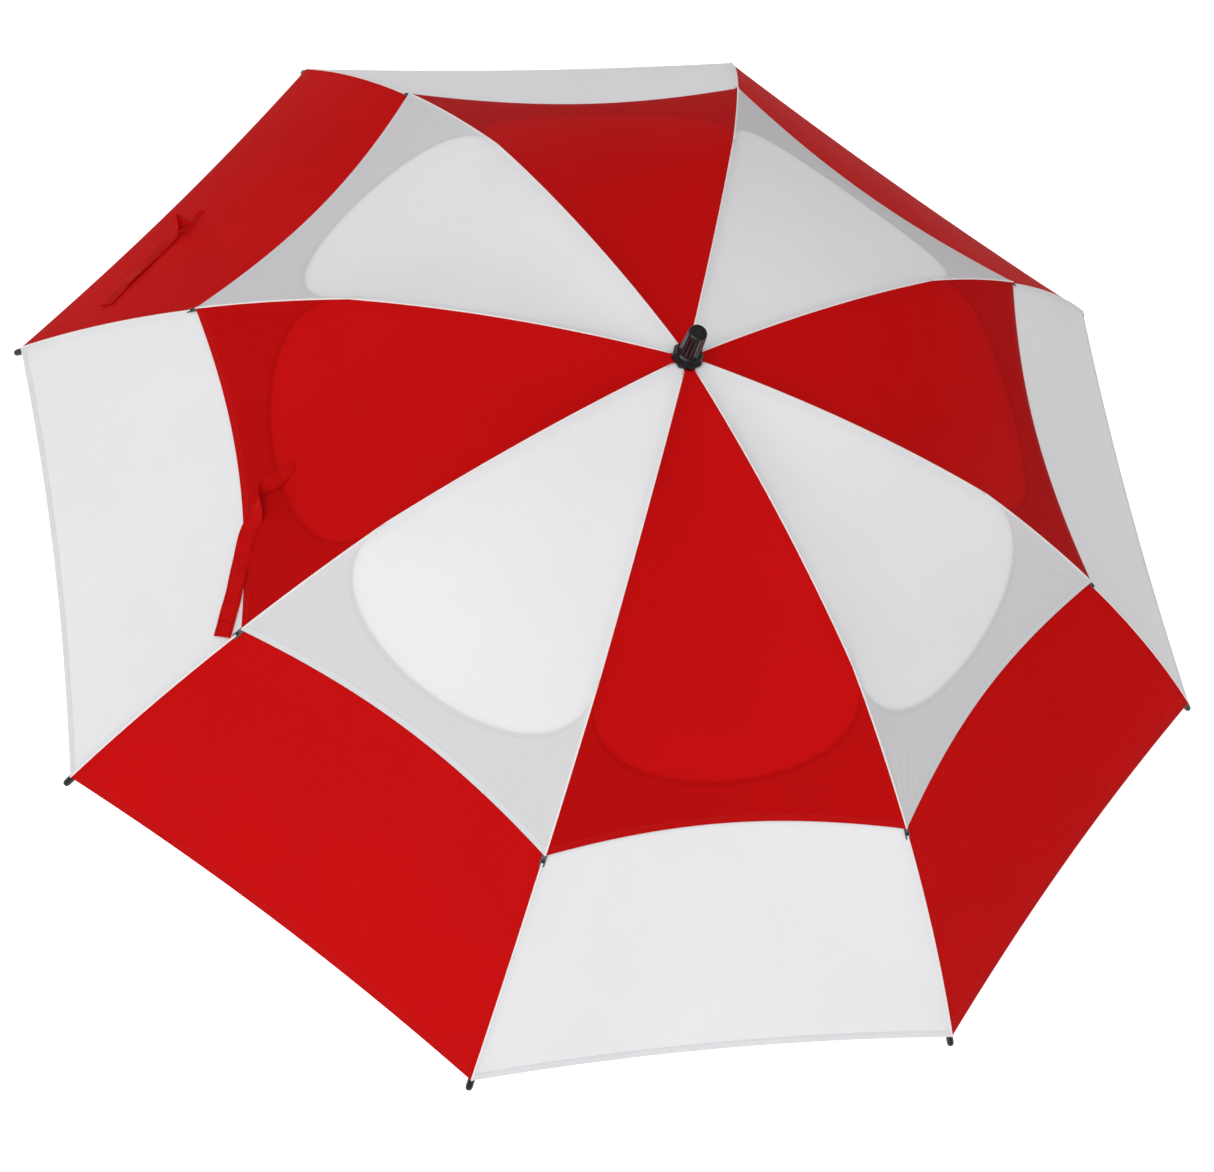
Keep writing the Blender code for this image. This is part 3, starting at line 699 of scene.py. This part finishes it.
def make_corner_ties(looks):
    """The elastic tab that holds each corner of the upper canopy to the seam below it, with its rivet."""
    for number in range(1, RIB_COUNT + 1):
        turn = turned((number - 1) * PANEL_ANGLE)
        start = INNER_LENGTH + HEM_START - TAB_BEFORE
        lengths = spread(start, start + TAB_LENGTH, TAB_CELLS)
        rises = [TAB_TOP - TAB_FALL * i / TAB_CELLS for i in range(TAB_CELLS + 1)]
        path = [fabric_point(length, 0.0, rise) for length, rise in zip(lengths, rises)]
        lifted = [fabric_point(length, 0.0, rise + 0.01) for length, rise in zip(lengths, rises)]
        normals = [(b - a).normalized() for a, b in zip(path, lifted)]
        points, faces = swept(path, normals, oval(TAB_WIDTH, TAB_THICKNESS, 12))
        tab = piece(f"corner_tab_{number}", [turn @ p for p in points], faces, looks["elastic"])
        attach(tab, f"rib_outer_{number}")
        centre, normal = path[RIVET_CELL], normals[RIVET_CELL]
        shape = bmesh.new()
        bmesh.ops.create_uvsphere(shape, u_segments=16, v_segments=8, radius=RIVET_RADIUS)
        spin = Vector((0, 0, 1)).rotation_difference(normal).to_matrix().to_4x4()
        flattened = spin @ Matrix.Diagonal((1, 1, RIVET_FLATNESS, 1))
        shape.transform(turn @ Matrix.Translation(centre + normal * RIVET_LIFT) @ flattened)
        mesh = bpy.data.meshes.new(f"corner_rivet_{number}")
        shape.to_mesh(mesh)
        shape.free()
        mesh.materials.append(looks["plastic"])
        mesh.shade_smooth()
        rivet = bpy.data.objects.new(f"corner_rivet_{number}", mesh)
        bpy.context.scene.collection.objects.link(rivet)
        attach(rivet, f"rib_outer_{number}")


# Straps


def smooth_route(route, steps):
    """Rows of numbers on a Catmull-Rom curve through the rows of route."""
    rows = [route[0], *route, route[-1]]
    made = []
    for i in range(1, len(rows) - 2):
        for step in range(steps):
            t = step / steps
            row = []
            for before, a, b, after in zip(*rows[i - 1:i + 3]):
                near = 2 * a + (b - before) * t + (2 * before - 5 * a + 4 * b - after) * t * t
                row.append((near + (3 * a - before - 3 * b + after) * t ** 3) / 2)
            made.append(row)
    made.append(list(route[-1]))
    return made


def make_strap(name, part, panel, route, width, rise, looks):
    """A strap of tape laid on a panel, along the rows of route, that is sewn down at its last end.

    The tape is turned over where its roll passes 90 degrees, and its first end is loose.
    """
    rows = smooth_route(route, ROUTE_STEPS)
    centres = [fabric_point(INNER_LENGTH + length, share, rise) for length, share, _, _ in rows]
    raised = [fabric_point(INNER_LENGTH + length, share, rise + 0.001) for length, share, _, _ in rows]
    points, uv = [], []
    run = 0.0
    for i, (here, (_, _, roll, lift)) in enumerate(zip(centres, rows)):
        ahead = (centres[min(i + 1, len(rows) - 1)] - centres[max(i - 1, 0)]).normalized()
        run += (here - centres[max(i - 1, 0)]).length
        up = (raised[i] - here).normalized()
        turn = Matrix.Rotation(math.radians(roll), 3, ahead)
        across, face = turn @ ahead.cross(up).normalized(), turn @ up
        widened = math.sin(math.pi / 2 * min(1.0, run / STRAP_TAPER))
        half = width / 2 * (STRAP_END_SHARE + (1 - STRAP_END_SHARE) * widened)
        clear = half * abs(math.sin(math.radians(roll))) + lift
        for j in range(STRAP_COLUMNS):
            place = 2 * j / (STRAP_COLUMNS - 1) - 1
            ripple = STRAP_RIPPLE * math.sin(run * RIPPLE_RATE + RIPPLE_SKEW * place)
            crown = STRAP_THICKNESS * (1 - STRAP_EDGE_DROP * place ** 6) + ripple
            points.append(here + across * place * half + face * crown + up * clear)
            uv.append((place, run))
    uv = [(place, run - passed) for place, passed in uv]
    points = [turned((panel - 1) * PANEL_ANGLE) @ p for p in points]
    made = piece(name, points, grid_faces(len(rows), STRAP_COLUMNS), looks["strap"])
    lay_uv(made, uv)
    solid = made.modifiers.new("tape", "SOLIDIFY")
    solid.thickness = STRAP_THICKNESS
    solid.offset = 0.0
    carrier = panel + 1
    fold_towards_rib(made, part, carrier)
    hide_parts(name)


# Hardware


def lathe(name, profile, sides, look, flutes=0, flute_depth=0.0, fluted_rows=()):
    """A profile of (r, z) turned about Z. The rows in fluted_rows get flutes."""
    points, faces = [], []
    for row, (r, z) in enumerate(profile):
        for i in range(sides):
            angle = 2 * math.pi * i / sides
            depth = flute_depth * (0.5 - 0.5 * math.cos(flutes * angle)) if row in fluted_rows else 0.0
            points.append(Vector(((r - depth) * math.cos(angle), (r - depth) * math.sin(angle), z)))
    for row in range(len(profile) - 1):
        for i in range(sides):
            k = (i + 1) % sides
            faces.append((row * sides + i, row * sides + k, (row + 1) * sides + k, (row + 1) * sides + i))
    made = piece(name, points, faces, look)
    shape = bmesh.new()
    shape.from_mesh(made.data)
    bmesh.ops.remove_doubles(shape, verts=shape.verts, dist=1e-6)
    bmesh.ops.recalc_face_normals(shape, faces=shape.faces)
    shape.to_mesh(made.data)
    shape.free()
    made.data.shade_smooth()
    made.data.set_sharp_from_angle(angle=math.radians(38))
    return made


def make_ferrule(looks):
    """A polished lip ring under a tapered barrel with long flats, a rounded shoulder and a dimpled top."""
    low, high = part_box("ferrule")
    base, top = low[2], high[2]
    profile = [(0.0073, base), (LIP_RADIUS - 0.0022, base)]
    for i in range(9):
        turn = math.pi * (i / 8 - 0.5)
        r = LIP_RADIUS - LIP_ROUNDING + LIP_ROUNDING * math.cos(turn)
        profile.append((r, base + LIP_MIDDLE + LIP_ROUNDING * math.sin(turn)))
    profile.append((0.0117, base + 0.0036))
    fluted = range(len(profile), len(profile) + 13)
    for i in range(13):
        rise = i / 12
        profile.append((0.0115 - 0.0014 * rise, base + 0.0040 + (top - base - 0.0078) * rise))
    rim = top - RIM_HEIGHT
    for i in range(1, 9):
        turn = math.pi / 2 * i / 8
        profile.append((0.0068 + 0.0032 * math.cos(turn), rim + RIM_HEIGHT * math.sin(turn)))
    profile += [(0.0040, top), (0.0026, top - 0.0003), (0.0014, top - 0.0011), (0.0, top - 0.0013)]
    made = lathe("ferrule_moulding", profile, 120, looks["ferrule"], FLATS, FLAT_DEPTH, fluted)
    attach(made, "root")
    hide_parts("ferrule")


def make_spacer(looks):
    """The ring on the shaft that keeps the collar clear of the notch, under the gathered cloth."""
    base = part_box("top_notch")[1][2]
    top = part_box("ferrule_collar")[0][2]
    edge = 0.0004
    outer = SPACER_RADIUS - edge
    profile = [(SPACER_BORE, base), (outer, base), (SPACER_RADIUS, base + edge)]
    profile += [(SPACER_RADIUS, top - edge), (outer, top), (SPACER_BORE, top), (SPACER_BORE, base)]
    made = lathe("crown_spacer", profile, 48, looks["plastic"])
    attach(made, "root")


def soften_edges(node, width):
    modifier = frame["nodes"][node].modifiers.new("soft_edges", "BEVEL")
    modifier.width = width
    modifier.segments = 2
    modifier.limit_method = "ANGLE"
    modifier.angle_limit = math.radians(30)


def paint(node, look):
    mesh = frame["nodes"][node].data
    mesh.materials.clear()
    mesh.materials.append(look)


def finish_frame_nodes(looks):
    for node in ("top_notch", "runner", "runner_button", "handle_end_cap"):
        paint(node, looks["plastic"])
    paint("ferrule_collar", looks["ferrule"])
    for node in ("stop_collar", "bottom_catch"):
        paint(node, looks["black_steel"])
    paint("shaft_tube", looks["shaft"])
    paint("handle_grip", looks["foam"])
    soften_edges("ferrule_collar", 0.0006)
    for number in range(1, RIB_COUNT + 1):
        paint(f"rib_inner_{number}", looks["black_steel"])
        paint(f"stretcher_{number}", looks["black_steel"])
        paint(f"rib_outer_{number}", looks["fibreglass"])
        paint(f"tip_cap_{number}", looks["plastic"])


# Stage


def make_stage():
    corners = [(x * FLOOR_REACH, y * FLOOR_REACH, 0) for x, y in ((-1, -1), (1, -1), (1, 1), (-1, 1))]
    floor = piece("floor", corners, [(0, 1, 2, 3)], floor_look(), False)
    floor.location.z = cad_box[0][2] - FLOOR_GAP
    world = bpy.data.worlds.new("studio")
    bpy.context.scene.world = world
    world.use_nodes = True
    world.node_tree.nodes["Background"].inputs["Color"].default_value = (1.0, 1.0, 1.0, 1.0)
    world.node_tree.nodes["Background"].inputs["Strength"].default_value = SKY_STRENGTH
    for name, place, size, power, lights_cloth in LIGHTS:
        light = bpy.data.objects.new(name, bpy.data.lights.new(name, "AREA"))
        light.data.size = size
        light.data.energy = power
        light.visible_diffuse = lights_cloth
        light.location = place
        light.rotation_euler = (LIGHT_AIM - Vector(place)).to_track_quat("-Z", "Y").to_euler()
        bpy.context.scene.collection.objects.link(light)
    bpy.context.scene.view_settings.view_transform = "Standard"


def floor_look():
    look = Look("floor")
    look.set(color=(0.93, 0.93, 0.93), roughness=0.9, specular=0.1)
    look.shader.inputs["Emission Color"].default_value = (1.0, 1.0, 1.0, 1.0)
    look.shader.inputs["Emission Strength"].default_value = 0.75
    return look.material


def make_camera():
    camera = bpy.data.objects.new("camera", bpy.data.cameras.new("camera"))
    azimuth = math.radians(CAMERA_AZIMUTH)
    elevation = math.radians(CAMERA_ELEVATION)
    flat = math.cos(elevation)
    ahead = Vector((-math.sin(azimuth) * flat, math.cos(azimuth) * flat, -math.sin(elevation)))
    camera.location = CAMERA_AIM - ahead * CAMERA_DISTANCE
    level = ahead.to_track_quat("-Z", "Y")
    roll = Matrix.Rotation(-math.radians(CAMERA_ROLL), 4, ahead)
    camera.rotation_euler = (roll @ level.to_matrix().to_4x4()).to_euler()
    camera.data.lens = CAMERA_LENS
    camera.data.sensor_width = 36.0
    bpy.context.scene.collection.objects.link(camera)
    bpy.context.scene.camera = camera


def make_looks():
    return {
        # The numbers after the colours are the share of light let through, the share of painted shade over
        # the other canopy, and gloss
        "red_fabric": fabric_look("red_pongee", RED, RED_DRIFT_AND_PAINTED_SHADE, 0.10, 0.15, 0.02),
        "white_fabric": fabric_look("white_pongee", WHITE, WHITE_DRIFT_AND_PAINTED_SHADE, 0.16, 0.28, 0.10),
        "piping": piping_look(),
        "strap": strap_look(),
        "elastic": plastic_look("corner_elastic", (0.10, 0.10, 0.11), 0.6, 1200.0, 0.3),
        "plastic": plastic_look("black_plastic", (0.009, 0.009, 0.010), 0.26, 450.0, 0.3),
        "ferrule": plastic_look("polished_plastic", (0.006, 0.006, 0.007), 0.12, 900.0, 0.3),
        "foam": foam_look(),
        "black_steel": metal_look("black_steel", (0.09, 0.09, 0.10), 0.38, 0.7, (60.0, 60.0, 60.0)),
        "fibreglass": plastic_look("fibreglass", (0.035, 0.035, 0.04), 0.4, 800.0, 0.4),
        "shaft": metal_look("shaft_steel", (0.55, 0.56, 0.58), 0.30, 1.0, (900.0, 900.0, 12.0)),
    }


make_camera()
make_stage()
looks = make_looks()
make_canopies(looks)
make_seams(looks)
make_corner_ties(looks)
make_strap("lower_strap", "lower", 4, LOWER_STRAP_ROUTE, LOWER_STRAP_WIDTH, LOWER_RISE, looks)
make_strap("upper_strap", "upper_outer", 5, UPPER_STRAP_ROUTE, UPPER_STRAP_WIDTH, UPPER_RISE, looks)
make_ferrule(looks)
make_spacer(looks)
finish_frame_nodes(looks)
